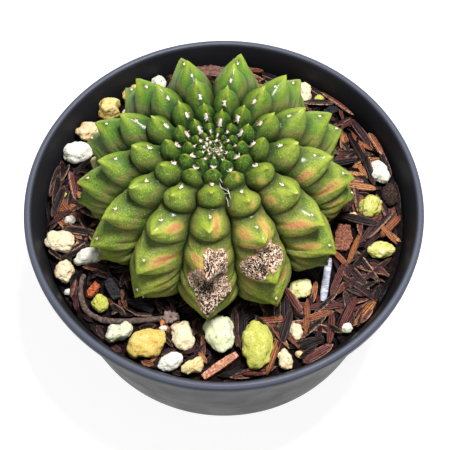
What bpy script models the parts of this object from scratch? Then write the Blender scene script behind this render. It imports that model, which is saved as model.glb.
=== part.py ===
"""Potted chin cactus in a round plastic pot, dressed with husks and pumice.

Sizes below are in millimetres and degrees; MM turns them into metres.
Origin: centre of the pot's underside. +Z up, +X to the right, +Y to the back.
"""
import math
import random

import bmesh
import bpy
import numpy as np
from mathutils import Matrix, Vector

MM = 0.001
GAP = 0.3                 # between pieces that touch

# Pot
POT_HEIGHT = 46.0
RIM_RADIUS = 51.0
LIP_HEIGHT = 3.2
LIP_WIDTH = 1.8
WALL = 1.2
WALL_TOP_RADIUS = 49.0    # outside, just under the lip
BASE_RADIUS = 43.0
FLOOR = 1.5
POT_SIDES = 48
DRAIN_HOLES = 6
DRAIN_RADIUS = 3.5
DRAIN_CIRCLE = 27.0

# Potting mix
SOIL_LEVEL = 37.5
SOIL_SIDES = 36
HUSKS = 184
HUSK_SPACING = 2.55       # between the middles of two husks
HUSK_LENGTH = (7.5, 11.0)
HUSK_WIDTH = (2.4, 3.3)
HUSK_ROOT = 1.35          # whole length over the length that shows
HUSK_DEPTH = 0.9          # how far a husk's foot lies under its axis
HUSK_SEED = 11
HUSK_CLEAR_OF_PLANT = 30.5
HUSK_CLEAR_OF_WALL = 2.2

# Cactus: where its axis stands, and how far it leans to the front and the left
PLANT_X = -2.1
PLANT_Y = 2.0
PLANT_LEAN_FRONT = 2.6
PLANT_LEAN_LEFT = 1.0

# The ribs run clockwise seen from above. Each has its azimuth and the place of
# its first areole, counted in areoles from the crown.
RIBS = ((78, .85), (50, .40), (24, .00), (-4, .50), (-35, .95), (-65, .40), (-93, .95),
        (-123, .35), (-149, .90), (-175, .50), (-201, .10), (-228, -.30), (-254, .20))

# Along a rib, by areole: distance from the axis, height over the soil, depth of
# the furrows, share of that depth left in the creases, areole to chin tip.
RIB_LINE = (
    (-3.5, 0.0, 28.5, 0.2, .05, 0.1),
    (-2.0, 1.1, 28.9, 0.6, .05, 0.3),
    (-1.0, 2.1, 29.3, 1.2, .05, 0.6),
    (0.0, 3.6, 29.7, 2.2, .06, 1.1),
    (1.0, 6.9, 30.6, 4.0, .12, 1.8),
    (2.0, 12.0, 31.4, 6.3, .24, 2.4),
    (3.0, 19.6, 29.8, 7.8, .42, 2.4),
    (4.0, 28.2, 24.3, 9.0, .54, 2.1),
    (5.0, 33.8, 15.2, 9.6, .61, 1.4),
    (6.0, 33.7, 7.5, 8.6, .68, 0.8),
    (7.0, 29.5, 2.3, 5.6, .75, 0.4),
    (8.0, 23.0, -1.2, 2.0, .90, 0.1))
LINE = np.array(RIB_LINE)
RANK, RADIUS, HEIGHT, DEPTH, CREASE, CHIN = range(6)
TIP = 0.10                # areole to tip, along the rib, in areoles
CHIN_DROOP = 24.0         # how far the chins lean away from the crown
COLUMNS = 8               # across each rib
FIRST_ROW = -1.4
LAST_ROW = 6.45
AREOLE_BUMP = 0.25
# The neck under the soil: radius and height over the soil
NECK = ((21.0, 1.0), (17.4, -1.2), (14.0, -5.0), (9.5, -11.0), (5.0, -14.5))

# Pumice: x, y, length, width, height, turn of the long side, colour
WHITE = (0.83, 0.84, 0.79)
CREAM = (0.83, 0.79, 0.58)
YELLOW = (0.78, 0.74, 0.32)
GREEN = (0.66, 0.72, 0.18)
PUMICE = (
    (-39.4, 17.5, 8.6, 6.4, 5.0, 15, WHITE),
    (-36.8, 24.4, 7.2, 5.6, 4.6, 20, CREAM),
    (-31.2, 30.9, 6.6, 6.2, 7.0, 90, YELLOW),
    (-26.2, 31.0, 4.4, 3.0, 2.8, 30, CREAM),
    (-24.7, 36.6, 8.2, 5.2, 4.6, 25, YELLOW),
    (-18.2, 40.4, 5.2, 4.4, 3.8, 110, WHITE),
    (-34.2, 14.2, 4.4, 3.2, 3.0, 120, GREEN),
    (22.0, 37.2, 7.6, 4.6, 4.0, 92, CREAM),
    (26.5, 35.2, 4.0, 3.5, 2.8, 60, GREEN),
    (41.3, 11.7, 7.4, 5.4, 4.2, 122, WHITE),
    (38.2, 1.0, 7.2, 6.0, 4.6, 60, GREEN),
    (39.9, -11.9, 7.4, 5.2, 4.2, 12, GREEN),
    (-41.9, -9.7, 8.0, 6.4, 5.0, 170, CREAM),
    (-34.4, -13.7, 8.2, 5.0, 4.8, 20, WHITE),
    (-40.1, -18.0, 6.6, 5.6, 4.6, 70, CREAM),
    (-30.8, -26.5, 4.9, 4.4, 3.4, 100, GREEN),
    (-25.6, -34.4, 7.8, 5.0, 4.4, 35, WHITE),
    (-18.8, -37.4, 10.8, 7.6, 5.6, 20, YELLOW),
    (-9.8, -35.6, 8.0, 6.2, 4.6, 100, CREAM),
    (-1.3, -34.8, 11.4, 8.4, 5.4, 95, WHITE),
    (-12.8, -41.8, 7.2, 4.2, 3.8, 25, WHITE),
    (-7.4, -42.9, 6.0, 3.8, 3.6, 30, YELLOW),
    (8.1, -37.6, 12.6, 8.0, 5.8, 95, GREEN),
    (19.2, -22.6, 6.4, 5.8, 4.0, 40, GREEN),
    (14.8, -41.2, 5.6, 3.9, 3.0, 100, CREAM),
    (30.2, -32.8, 3.8, 3.3, 2.6, 20, WHITE),
    (18.3, -39.6, 2.6, 2.2, 1.8, 40, CREAM),
    (-39.9, -2.7, 3.7, 3.2, 2.4, 30, WHITE),
    (-41.9, 4.6, 2.6, 2.0, 1.7, 60, GREEN),
    (-15.0, -32.9, 2.5, 2.0, 1.6, 0, WHITE),
    (-39.1, -23.1, 2.5, 2.1, 1.8, 30, WHITE),
    (33.5, -1.5, 3.3, 2.4, 2.0, 20, YELLOW),
    (17.6, -33.8, 5.0, 3.3, 2.6, 110, CREAM))
STONE_ROUGHNESS = 0.13
SMALL_STONE = 4.1

# Pieces of bark, charcoal and straw: x, y, length, width, height, turn
BARK_BROWN = (0.16, 0.08, 0.05)
CHARCOAL = (0.02, 0.02, 0.025)
CHUNKS = {
    "bark_back": (-4.2, 42.4, 10.0, 4.4, 6.0, 176, BARK_BROWN),
    "bark_right": (43.5, 4.2, 6.4, 4.4, 5.2, 98, (0.09, 0.06, 0.05)),
    "bark_flake": (30.8, -7.4, 7.6, 5.0, 1.5, 80, (0.26, 0.11, 0.07)),
    "bark_chip": (-32.8, -22.4, 4.4, 2.2, 1.8, 58, (0.45, 0.10, 0.04)),
    "charcoal_left": (-27.8, -22.6, 6.2, 2.8, 2.8, 116, CHARCOAL),
    "charcoal_low": (-20.8, -26.9, 7.2, 2.4, 2.0, 156, CHARCOAL),
    "charcoal_back": (29.6, 31.6, 4.2, 2.8, 2.4, 20, CHARCOAL),
    "straw_stick": (-0.9, -42.5, 10.2, 2.0, 1.6, 36, (0.45, 0.20, 0.10)),
    "straw_blade": (25.8, -19.4, 12.2, 1.9, 0.9, 79, (0.42, 0.42, 0.46))}
CHUNK_ROUGHNESS = 0.10

# Twig: the route of its middle line on the soil
TWIG = ((-35.4, -18.3), (-36.0, -21.2), (-35.6, -24.8), (-33.8, -28.4),
        (-30.2, -30.5), (-25.0, -31.0), (-16.4, -30.4), (-11.0, -30.0))
TWIG_RADIUS = 0.8


def clear_scene():
    """Remove every object that the file opens with."""
    for item in list(bpy.data.objects):
        bpy.data.objects.remove(item, do_unlink=True)


def material(name, color, roughness, metallic=0.0):
    """A Principled material of one colour."""
    made = bpy.data.materials.new(name)
    made.use_nodes = True
    shader = made.node_tree.nodes["Principled BSDF"]
    shader.inputs["Base Color"].default_value = (*color, 1.0)
    shader.inputs["Roughness"].default_value = roughness
    shader.inputs["Metallic"].default_value = metallic
    return made


def add_object(name, mesh, finish, smooth_angle=None):
    """Link a mesh as a named object with its material."""
    mesh.materials.clear()
    mesh.materials.append(finish)
    if smooth_angle is not None:
        mesh.shade_smooth()
        mesh.set_sharp_from_angle(angle=math.radians(smooth_angle))
    item = bpy.data.objects.new(name, mesh)
    bpy.context.scene.collection.objects.link(item)
    return item


def mesh_from_bmesh(name, bm):
    """Turn the faces outward and write the mesh."""
    bmesh.ops.recalc_face_normals(bm, faces=bm.faces)
    if bm.calc_volume(signed=True) < 0:
        bmesh.ops.reverse_faces(bm, faces=bm.faces)
    mesh = bpy.data.meshes.new(name)
    bm.to_mesh(mesh)
    bm.free()
    return mesh


def mesh_from_rings(name, rings, first, last, split=False):
    """A closed skin over rings of points, with a point at each end.

    With split, each four-sided face is cut along its shorter diagonal.
    """
    bm = bmesh.new()
    loops = [[bm.verts.new(Vector(point) * MM) for point in ring] for ring in rings]
    count = len(loops[0])
    for upper, lower in zip(loops, loops[1:]):
        for i in range(count):
            j = (i + 1) % count
            bm.faces.new((upper[i], upper[j], lower[j], lower[i]))
    for ring, point in ((loops[0], first), (loops[-1], last)):
        pole = bm.verts.new(Vector(point) * MM)
        for i in range(count):
            bm.faces.new((pole, ring[i], ring[(i + 1) % count]))
    if split:
        bmesh.ops.triangulate(bm, faces=bm.faces, quad_method="SHORT_EDGE")
    return mesh_from_bmesh(name, bm)


def circle(x, y, radius, z, sides):
    """Points of a level circle."""
    turns = [2 * math.pi * i / sides for i in range(sides)]
    return [(x + radius * math.cos(a), y + radius * math.sin(a), z) for a in turns]


def apply_modifiers(item):
    """Keep what the modifiers make as the object's own mesh."""
    view = bpy.context.evaluated_depsgraph_get()
    mesh = bpy.data.meshes.new_from_object(item.evaluated_get(view))
    item.modifiers.clear()
    item.data = mesh


def inner_wall(z):
    """Radius of the inside of the pot at height z."""
    top = POT_HEIGHT - LIP_HEIGHT
    outside = BASE_RADIUS + (WALL_TOP_RADIUS - BASE_RADIUS) * z / top
    return outside - WALL


def pot():
    """Thin tapered pot with a rounded lip and drain holes."""
    lip_low = POT_HEIGHT - LIP_HEIGHT
    lip_in = RIM_RADIUS - LIP_WIDTH
    profile = [
        (0, FLOOR), (inner_wall(FLOOR) - 1.5, FLOOR), (inner_wall(3), 3),
        (inner_wall(lip_low - 1), lip_low - 1), (lip_in - .5, POT_HEIGHT - 1.4),
        (lip_in + .2, POT_HEIGHT - .4), (lip_in + .7, POT_HEIGHT), (RIM_RADIUS - .5, POT_HEIGHT - .1),
        (RIM_RADIUS, POT_HEIGHT - .7), (RIM_RADIUS, lip_low + .5), (RIM_RADIUS - .5, lip_low),
        (WALL_TOP_RADIUS, lip_low), (BASE_RADIUS + .15, 1.1), (BASE_RADIUS - .9, 0), (0, 0)]
    mesh = bpy.data.meshes.new("pot")
    edges = [(i, i + 1) for i in range(len(profile) - 1)]
    mesh.from_pydata([(r * MM, 0, z * MM) for r, z in profile], edges, [])
    finish = material("pot_plastic", (0.030, 0.031, 0.036), 0.42)
    item = add_object("pot", mesh, finish)
    turn = item.modifiers.new("turn", "SCREW")
    turn.axis = "Z"
    turn.steps = turn.render_steps = POT_SIDES
    turn.use_merge_vertices = True
    turn.merge_threshold = 0.00001
    turn.use_smooth_shade = True
    cutter = drain_cutter()
    holes = item.modifiers.new("drain_holes", "BOOLEAN")
    holes.operation = "DIFFERENCE"
    holes.object = cutter
    apply_modifiers(item)
    bpy.data.objects.remove(cutter, do_unlink=True)
    item.data.set_sharp_from_angle(angle=math.radians(40))
    return item


def drain_cutter():
    """Upright rods on a circle, one for each drain hole."""
    bm = bmesh.new()
    for i in range(DRAIN_HOLES):
        a = 2 * math.pi * (i + .5) / DRAIN_HOLES
        place = Matrix.Translation(Vector((DRAIN_CIRCLE * math.cos(a), DRAIN_CIRCLE * math.sin(a), 0)) * MM)
        bmesh.ops.create_cone(bm, cap_ends=True, segments=12, radius1=DRAIN_RADIUS * MM,
                              radius2=DRAIN_RADIUS * MM, depth=4 * FLOOR * MM, matrix=place)
    cutter = add_object("drain_cutter", mesh_from_bmesh("drain_cutter", bm), material("cutter", (1, 0, 0), 1))
    cutter.hide_render = True
    cutter.display_type = "WIRE"
    return cutter


def along(rank, column):
    """One column of the rib line as a smooth curve."""
    xs, ys = LINE[:, RANK], LINE[:, column]
    rank = np.clip(np.asarray(rank, float), xs[0], xs[-1])
    slopes = np.gradient(ys, xs)
    i = np.clip(np.searchsorted(xs, rank, side="right") - 1, 0, len(xs) - 2)
    step = xs[i + 1] - xs[i]
    s = (rank - xs[i]) / step
    ends = (1 + 2 * s) * (1 - s) ** 2 * ys[i] + s * s * (3 - 2 * s) * ys[i + 1]
    return ends + s * (1 - s) * step * ((1 - s) * slopes[i] - s * slopes[i + 1])


def outer(rank):
    """0 on the rounded tubercles of the crown, 1 on the sharp outer chins."""
    x = np.clip((np.asarray(rank, float) - 2.6) / 1.8, 0, 1)
    return x * x * (3 - 2 * x)


def areole_share(rank):
    """Height of an areole between its crease, 0, and its chin tip, 1."""
    return 1 - along(rank, CHIN) / (along(rank, DEPTH) * (1 - along(rank, CREASE)))


def swell(past, rank, u):
    """The rib's height between its creases, 0, and a chin tip, 1.

    past is how far the point is beyond an areole, and u how far it is from the
    middle of the rib towards the furrows, from -1 to 1.
    """
    side = abs(u)
    sharp = outer(rank)
    head = .20 + .25 * sharp
    w = (past + head + .08 * side ** 2) % 1.0
    rise = head + TIP + (.20 - .06 * sharp) * side ** 1.4
    hollow = np.log(np.clip(areole_share(rank), .12, .95)) / np.log(head / (head + TIP))
    hollow = np.clip(hollow, .8, 3) * (1 - .4 * side) + .4 * side
    up = np.clip(w / rise, 0, 1) ** hollow
    down = np.clip((w - rise) / (1 - rise), 0, 1)
    fall = (1 - down ** (1.25 - .15 * sharp)) ** (.60 + .20 * sharp)
    return np.where(w < rise, up, fall)


def across(past, rank, u):
    """The rib's height from its middle line, 1, to the furrows, 0."""
    off_tip = (past - TIP + .5) % 1.0 - .5
    keel = np.exp(-(off_tip / np.where(off_tip < 0, .16, .26)) ** 2)
    sharp = outer(rank)
    power = (2.5 - .9 * sharp) * (1 - keel) + (1.25 - .10 * sharp) * keel
    return (1 - abs(u) ** power) ** (.56 + .10 * sharp + .22 * keel)


def out_of_furrow(rank, share):
    """Step from the furrow's floor to a share of the rib's depth: radius, height."""
    run = along(rank + .05, RADIUS) - along(rank - .05, RADIUS)
    drop = along(rank - .05, HEIGHT) - along(rank + .05, HEIGHT)
    angle = np.arctan2(drop, run) + math.radians(CHIN_DROOP) * share
    step = along(rank, DEPTH) * share
    return step * np.sin(angle), step * np.cos(angle)


def sway(mine, other, rank):
    """How far a furrow swings into the neighbour between its tubercles."""
    amount = .03 + .22 * np.clip((3.6 - rank) / 2.2, 0, 1)
    widest = .40
    return amount * (np.cos(2 * math.pi * (mine - widest)) - np.cos(2 * math.pi * (other - widest))) / 2


def rib_points(rows, columns, first_row):
    """The skin of the ribbed part: an array of rows by columns by x, y, z."""
    rows = np.asarray(rows, float)
    mean = sum(phase for _, phase in RIBS) / len(RIBS)
    free = np.clip((LAST_ROW - rows) / .8, 0, 1) * np.clip(rows - first_row, 0, 1)
    skin = np.zeros((len(rows), len(RIBS) * columns, 3))
    for i, (azimuth, phase) in enumerate(RIBS):
        after, before = RIBS[(i + 1) % len(RIBS)], RIBS[i - 1]
        for c in range(columns):
            u = math.sin((2 * c / columns - 1) * math.pi / 2)
            other = after if u > 0 else before
            half = abs((azimuth - other[0] + 180) % 360 - 180) / 2
            shift = phase * (1 - abs(u) / 2) + other[1] * abs(u) / 2
            rank = rows + mean + (shift - mean) * free
            past = rank - phase
            angle = np.radians(azimuth - u * half * (1 + sway(past, rank - other[1], rank)))
            crease = along(rank, CREASE)
            share = (crease + (1 - crease) * swell(past, rank, u)) * across(past, rank, u)
            areole = crease + (1 - crease) * areole_share(rank)
            out, up = out_of_furrow(rank, share)
            out_areole, up_areole = out_of_furrow(rank, areole)
            radius = along(rank, RADIUS) - out_areole + out
            k = i * columns + c
            skin[:, k, 0] = radius * np.cos(angle)
            skin[:, k, 1] = radius * np.sin(angle)
            skin[:, k, 2] = along(rank, HEIGHT) - up_areole + up
    return skin


def place_plant(skin):
    """Lean the plant above the soil and stand it on its place."""
    held = np.clip(skin[:, :, 2] / 6, 0, 1)
    lean = math.tan(math.radians(PLANT_LEAN_LEFT)) * skin[:, :, 0]
    lean = lean + math.tan(math.radians(PLANT_LEAN_FRONT)) * skin[:, :, 1]
    skin[:, :, 2] += lean * held + SOIL_LEVEL
    skin[:, :, 0] += PLANT_X
    skin[:, :, 1] += PLANT_Y
    return skin


def cactus():
    """The whole plant as one skin: ribs with their chins, and the neck."""
    around_tip = (-.40, -.18, 0, TIP, .38)
    rows = [j + v for j in range(-1, 6) for v in around_tip]
    rows += [5.63, 5.85, 6.05, 6.25, LAST_ROW]
    skin = rib_points(rows, COLUMNS, FIRST_ROW)
    middle = COLUMNS // 2
    for r, row in enumerate(rows):
        if abs(row - round(row)) < .001 and row < 5.5:
            skin[r, middle::COLUMNS, 2] += AREOLE_BUMP
    turns = np.arctan2(skin[-1, :, 1], skin[-1, :, 0])
    neck = [np.stack((r * np.cos(turns), r * np.sin(turns), np.full(len(turns), z)), 1) for r, z in NECK]
    skin = place_plant(np.concatenate((skin, np.array(neck))))
    crown = (PLANT_X, PLANT_Y, SOIL_LEVEL + LINE[0, HEIGHT] - .3)
    foot = (PLANT_X, PLANT_Y, SOIL_LEVEL + NECK[-1][1] - 1.5)
    mesh = mesh_from_rings("cactus", skin, crown, foot, split=True)
    return add_object("cactus", mesh, material("cactus_skin", (0.12, 0.28, 0.035), 0.42), 50)


def covered(x, y, margin):
    """Whether a stone, a chunk or the twig lies within margin of a point."""
    for px, py, length, width, _, turn, _ in list(PUMICE) + list(CHUNKS.values()):
        a = math.radians(turn)
        run = (x - px) * math.cos(a) + (y - py) * math.sin(a)
        side = (y - py) * math.cos(a) - (x - px) * math.sin(a)
        if max(abs(run) - length / 2, abs(side) - width / 2) < margin:
            return True
    return any(math.dist((x, y), point) < TWIG_RADIUS + margin for point in twig_route(8))


def twig_route(steps):
    """Points along a smooth curve through the twig's route."""
    points = [Vector(p) for p in TWIG]
    points = [2 * points[0] - points[1]] + points + [2 * points[-1] - points[-2]]
    route = []
    for a, b, c, d in zip(points, points[1:], points[2:], points[3:]):
        for k in range(steps):
            s = k / steps
            route.append(.5 * (2 * b + (c - a) * s + (2 * a - 5 * b + 4 * c - d) * s * s
                               + (3 * b - a - 3 * c + d) * s ** 3))
    return route + [points[-2]]


def husk_places():
    """Seeded places of the husks, clear of the plant, the stones and the wall."""
    draw = random.Random(HUSK_SEED)
    places = []
    tries = 0
    while len(places) < HUSKS and tries < 20000:
        tries += 1
        a = draw.uniform(0, 2 * math.pi)
        r = math.sqrt(draw.uniform(28 ** 2, 46 ** 2))
        x, y, turn = r * math.cos(a), r * math.sin(a), draw.uniform(0, math.pi)
        length = draw.uniform(*HUSK_LENGTH)
        wide = draw.uniform(*HUSK_WIDTH)
        if tries > 4000:
            length, wide = .55 * length, .8 * wide
        run = (math.cos(turn) * length, math.sin(turn) * length)
        ends = [(x + k / 10 * run[0], y + k / 10 * run[1]) for k in range(-5, 6)]
        roots = [(x + s * HUSK_ROOT * run[0], y + s * HUSK_ROOT * run[1]) for s in (-.5, .5)]
        if any(math.hypot(*p) > inner_wall(SOIL_LEVEL - 2) - HUSK_CLEAR_OF_WALL for p in roots):
            continue
        if any(math.dist(p, (PLANT_X, PLANT_Y)) < HUSK_CLEAR_OF_PLANT for p in ends):
            continue
        if any(covered(*p, wide * .42) for p in ends):
            continue
        if any(math.dist((x, y), (q[0], q[1])) < HUSK_SPACING for q in places):
            continue
        places.append((x, y, turn, length, wide, draw.uniform(-4, 4), draw.uniform(-18, 18), draw.uniform(-.3, 0)))
    return places


def husk(name, x, y, turn, length, wide, pitch, roll, lift):
    """A three-sided spindle: its ridge shows, its foot and tips are in the soil."""
    bm = bmesh.new()
    low, high, half = -HUSK_DEPTH, wide * .52, wide * .85
    tip, low_tip = length * HUSK_ROOT / 2, -.5
    ring = [bm.verts.new(Vector(p) * MM) for p in ((0, -half, low), (0, half, low), (0, .1 * wide, high))]
    tips = [bm.verts.new(Vector((end * tip, 0, low_tip)) * MM) for end in (-1, 1)]
    for i in range(3):
        j = (i + 1) % 3
        bm.faces.new((tips[0], ring[j], ring[i]))
        bm.faces.new((tips[1], ring[i], ring[j]))
    spin = Matrix.Rotation(turn, 4, "Z") @ Matrix.Rotation(math.radians(pitch), 4, "Y")
    spin = spin @ Matrix.Rotation(math.radians(roll), 4, "X")
    place = Matrix.Translation(Vector((x, y, SOIL_LEVEL + lift)) * MM)
    bm.transform(place @ spin)
    return bpy.data.objects.new(name, mesh_from_bmesh(name, bm))


def potting_mix():
    """Soil that fills the pot round the neck, with husks fused on its top."""
    hole = [(NECK[0][0] - GAP, 0)] + [(r + GAP, z - GAP) for r, z in NECK[1:]]
    rings = [circle(PLANT_X, PLANT_Y, r, SOIL_LEVEL + z, SOIL_SIDES) for r, z in reversed(hole)]
    rings.append(circle(PLANT_X / 2, PLANT_Y / 2, 32, SOIL_LEVEL, SOIL_SIDES))
    wall = ((SOIL_LEVEL, 0), (FLOOR + 1.8, 0), (FLOOR + GAP, 1.6))
    rings += [circle(0, 0, inner_wall(z) - GAP - less, z, SOIL_SIDES) for z, less in wall]
    bottom = (PLANT_X, PLANT_Y, SOIL_LEVEL + NECK[-1][1] - 1.5 - GAP)
    mesh = mesh_from_rings("potting_mix", rings, bottom, (0, 0, FLOOR + GAP))
    item = add_object("potting_mix", mesh, material("potting_mix", (0.055, 0.028, 0.022), 0.75))
    husks = bpy.data.collections.new("husks")
    for i, place in enumerate(husk_places()):
        husks.objects.link(husk(f"husk_{i}", *place))
    bpy.context.scene.collection.children.link(husks)
    fuse = item.modifiers.new("fuse_husks", "BOOLEAN")
    fuse.operation = "UNION"
    fuse.operand_type = "COLLECTION"
    fuse.collection = husks
    fuse.solver = "MANIFOLD"
    apply_modifiers(item)
    for piece in list(husks.objects):
        bpy.data.objects.remove(piece, do_unlink=True)
    bpy.data.collections.remove(husks)
    return item


def lump(name, place, finish, rough, draw):
    """A rough rounded lump that sits on the soil on a small flat."""
    x, y, length, width, height, turn = place
    bm = bmesh.new()
    small = length < SMALL_STONE
    bmesh.ops.create_icosphere(bm, subdivisions=1 if small else 2, radius=1)
    bottom = -.36 if small else -.86
    for vert in bm.verts:
        vert.co *= 1 + draw.uniform(-rough, rough * .5)
        vert.co.z = max(vert.co.z, bottom)
    bm.transform(Matrix.Diagonal((length / 2, width / 2, height / (1 - bottom), 1)))
    bm.transform(Matrix.Rotation(math.radians(turn), 4, "Z"))
    low = min(vert.co.z for vert in bm.verts)
    bm.transform(Matrix.Translation((x, y, SOIL_LEVEL + GAP - low)))
    bm.transform(Matrix.Scale(MM, 4))
    return add_object(name, mesh_from_bmesh(name, bm), finish)


def pumice():
    """The stones on top of the mix."""
    draw = random.Random(5)
    finishes = {tone: material("pumice", tone, 0.9) for tone in (WHITE, CREAM, YELLOW, GREEN)}
    for i, (*place, tone) in enumerate(PUMICE):
        lump(f"pumice_{i + 1:02d}", place, finishes[tone], STONE_ROUGHNESS, draw)


def chunk(name, place, finish, draw):
    """A split block with uneven edges."""
    x, y, length, width, height, turn = place
    bm = bmesh.new()
    bmesh.ops.create_cube(bm, size=1)
    long_edges = [e for e in bm.edges if abs(e.verts[0].co.x - e.verts[1].co.x) > .5]
    bmesh.ops.subdivide_edges(bm, edges=long_edges, cuts=2, use_grid_fill=True)
    for vert in bm.verts:
        taper = .72 if abs(vert.co.x) > .4 else 1.0
        vert.co.y *= taper * (1 + draw.uniform(-CHUNK_ROUGHNESS, 0))
        if vert.co.z > 0:
            vert.co.z *= taper * (1 + draw.uniform(-2 * CHUNK_ROUGHNESS, 0))
    bm.transform(Matrix.Diagonal((length, width, height, 1)))
    bmesh.ops.triangulate(bm, faces=bm.faces)
    bm.transform(Matrix.Rotation(math.radians(turn), 4, "Z"))
    bm.transform(Matrix.Translation((x, y, SOIL_LEVEL + GAP + height / 2)))
    bm.transform(Matrix.Scale(MM, 4))
    return add_object(name, mesh_from_bmesh(name, bm), finish)


def chunks():
    """Bark, charcoal and straw on top of the mix."""
    draw = random.Random(8)
    for name, (*place, tone) in CHUNKS.items():
        chunk(name, place, material(name, tone, 0.8), draw)


def twig():
    """A thin bent twig that lies on the mix."""
    curve = bpy.data.curves.new("twig", "CURVE")
    curve.dimensions = "3D"
    curve.bevel_depth = TWIG_RADIUS * MM
    curve.bevel_resolution = 1
    curve.use_fill_caps = True
    route = twig_route(3)
    line = curve.splines.new("POLY")
    line.points.add(len(route) - 1)
    for point, place in zip(line.points, route):
        point.co = (*(place * MM), (SOIL_LEVEL + GAP + TWIG_RADIUS) * MM, 1)
    item = bpy.data.objects.new("twig", curve)
    curve.materials.append(material("twig", (0.13, 0.09, 0.07), 0.8))
    bpy.context.scene.collection.objects.link(item)


def main():
    clear_scene()
    pot()
    cactus()
    potting_mix()
    pumice()
    chunks()
    twig()


main()
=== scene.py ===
"""Potted chin cactus: the fine skin, wool, husks, stones, pot and their finishes.

Lengths are millimetres and angles degrees; MM turns millimetres into metres.
A rank is a place along a rib, counted in areoles from the crown. A place across
a rib runs from -1 to 1, from furrow to furrow, clockwise seen from above.
"""
import random
from math import atan2, cos, dist, hypot, pi, radians, sin, sqrt, tan, tau

import bmesh
import bpy
import numpy as np
from mathutils import Matrix, Vector, geometry, noise


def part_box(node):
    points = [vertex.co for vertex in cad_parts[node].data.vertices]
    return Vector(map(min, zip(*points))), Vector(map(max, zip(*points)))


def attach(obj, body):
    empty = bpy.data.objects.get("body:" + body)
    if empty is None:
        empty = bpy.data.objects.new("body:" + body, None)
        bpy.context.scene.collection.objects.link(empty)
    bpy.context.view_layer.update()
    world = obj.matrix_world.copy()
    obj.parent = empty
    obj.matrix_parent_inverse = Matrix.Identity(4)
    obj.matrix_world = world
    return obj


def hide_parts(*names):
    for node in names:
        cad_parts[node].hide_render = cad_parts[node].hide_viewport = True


MM = 0.001
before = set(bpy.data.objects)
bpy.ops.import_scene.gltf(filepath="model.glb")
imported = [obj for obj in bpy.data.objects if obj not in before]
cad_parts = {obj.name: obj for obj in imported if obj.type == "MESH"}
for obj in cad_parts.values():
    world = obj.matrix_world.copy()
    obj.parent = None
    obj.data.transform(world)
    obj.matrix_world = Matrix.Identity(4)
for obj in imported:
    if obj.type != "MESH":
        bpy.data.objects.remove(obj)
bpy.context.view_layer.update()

# Pot
POT_HEIGHT = 46.0
RIM_RADIUS = 51.0
LIP_HEIGHT = 3.2
LIP_WIDTH = 1.8
WALL = 1.2
WALL_TOP_RADIUS = 49.0
BASE_RADIUS = 43.0
FLOOR = 1.5
POT_SIDES = 192
DRAIN_HOLES = 6
DRAIN_RADIUS = 3.5
DRAIN_CIRCLE = 27.0

# Potting mix
GAP = 0.3
SOIL_LEVEL = 37.5
SOIL_SIDES = 180
SOIL_RINGS = 40
SOIL_LUMP = 0.55

# Husks on the mix
HUSK_TRIES = 12000
HUSK_LENGTH = (8.5, 12.5)
HUSK_WIDTH = (1.5, 2.5)
SHORT_HUSK = (.58, .72)   # shares of length and width, for one in four
TINY_HUSK = (.42, .62)    # the same among the stones at the front left
TINY_SIDE = (2, -12)
HUSK_FIELD = (23, 47.5)   # how far from the pot's middle they lie
HUSK_OFF_PLANT = 22.5
HUSK_OFF_TWIG = 1.1
HUSK_PILE = 2.2           # how high they lie on each other
LOW_PILE = 0.9            # the same under the plant's edge
LOW_PILE_ENDS = 34        # from the plant's axis
HUSK_STEPS = 9
HUSK_AROUND = 10
HUSK_RIBS = 10

# Cactus: where its axis stands, and how far it leans to the front and the left
PLANT_X = -2.1
PLANT_Y = 2.0
PLANT_LEAN_FRONT = 2.6
PLANT_LEAN_LEFT = 1.0

# The ribs run clockwise seen from above. Each has its azimuth and the rank of
# its first areole.
RIBS = ((78, .85), (50, .40), (24, .00), (-4, .50), (-35, .95), (-65, .40), (-93, .95),
        (-123, .35), (-149, .90), (-175, .50), (-201, .10), (-228, -.30), (-254, .20))
MEAN_START = sum(start for _, start in RIBS) / len(RIBS)

# Along a rib, by rank: distance from the axis, height over the soil, depth of
# the furrows, share of that depth left in the creases, areole to chin tip.
LINE = np.array((
    (-3.5, 0.0, 28.5, 0.2, .05, 0.1),
    (-2.0, 1.1, 28.9, 0.6, .05, 0.3),
    (-1.0, 2.1, 29.3, 1.2, .05, 0.6),
    (0.0, 3.6, 29.7, 2.2, .06, 1.1),
    (1.0, 6.9, 30.6, 4.0, .12, 1.8),
    (2.0, 12.0, 31.4, 6.3, .24, 2.4),
    (3.0, 19.6, 29.8, 7.8, .42, 2.4),
    (4.0, 28.2, 24.3, 9.0, .54, 2.1),
    (5.0, 33.8, 15.2, 9.6, .61, 1.4),
    (6.0, 33.7, 7.5, 8.6, .68, 0.8),
    (7.0, 29.5, 2.3, 5.6, .75, 0.4),
    (8.0, 23.0, -1.2, 2.0, .90, 0.1)))
RANK, RADIUS, HEIGHT, DEPTH, CREASE, CHIN = range(6)
TIP = 0.10                # areole to tip, along the rib, in areoles
CHIN_DROOP = 24.0         # how far the chins lean away from the crown
SHARP_FROM = 2.6          # ranks over which round tubercles turn to sharp chins
SHARP_OVER = 1.8
COLUMNS = 28              # across each rib
ROWS = 225
FIRST_ROW = -3.0
LAST_ROW = 6.45
NECK = ((21.0, 1.0), (17.4, -1.2), (14.0, -5.0), (9.5, -11.0), (5.0, -14.5))
NECK_END = SOIL_LEVEL + NECK[-1][1] - 1.5
HEART = Vector((PLANT_X, PLANT_Y, SOIL_LEVEL + 8))  # the skin faces away from it

# Camera: the photograph looks down from the front
VIEW_ELEVATION = 61.71
VIEW_DISTANCE = 250.0
VIEW_TARGET = (0.27, -7.92, 46.0)
VIEW_LENS = 79.6
SENSOR_WIDTH = 36

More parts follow.
